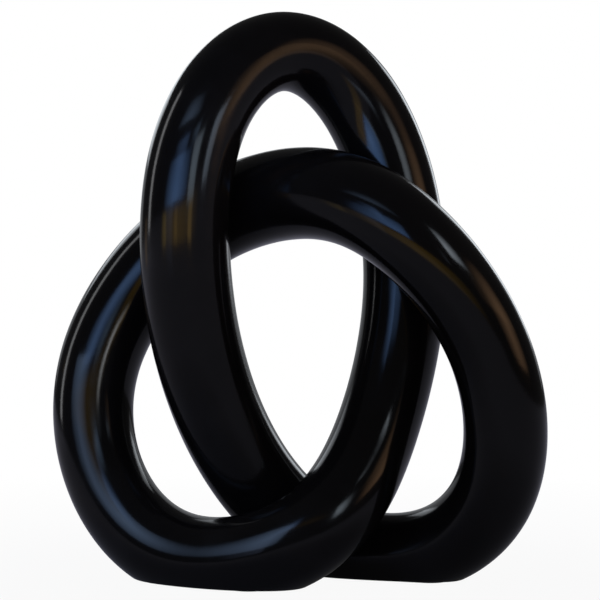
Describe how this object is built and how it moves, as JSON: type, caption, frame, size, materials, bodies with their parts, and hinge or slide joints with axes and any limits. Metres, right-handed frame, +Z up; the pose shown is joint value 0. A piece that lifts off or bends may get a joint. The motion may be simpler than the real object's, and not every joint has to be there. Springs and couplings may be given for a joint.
{
  "type": "knot sculpture",
  "caption": "Free-standing trefoil knot sculpture of hollow cast metal tube, welded end to end, finished in gloss black lacquer, on two ground flats with felt pads.",
  "frame": {"origin": "centre of the bounding box, on the surface that the felt pads rest on", "axes": "+Z up, +X to the right seen from the front, +Y away from the front"},
  "size_m": [0.2672, 0.108, 0.3009],
  "materials": {
    "black_lacquer": "gloss black lacquer over ground and polished cast aluminium",
    "bare_aluminium": "turned, bare",
    "felt": "pressed wool felt, black"
  },
  "bodies": {
    "root": {"left_strand_casting": "black_lacquer", "right_foot_casting": "black_lacquer", "arch_casting": "black_lacquer", "left_lobe_casting": "black_lacquer", "left_foot_casting": "black_lacquer", "crown_casting": "black_lacquer", "crown_sleeve": "bare_aluminium", "crown_weld": "black_lacquer", "base_sleeve": "bare_aluminium", "base_weld": "black_lacquer", "right_sleeve": "bare_aluminium", "right_weld": "black_lacquer", "arch_sleeve": "bare_aluminium", "arch_weld": "black_lacquer", "left_sleeve": "bare_aluminium", "left_weld": "black_lacquer", "middle_sleeve": "bare_aluminium", "middle_weld": "black_lacquer", "left_foot_pad": "felt", "right_foot_pad": "felt"}
  },
  "joints": []
}
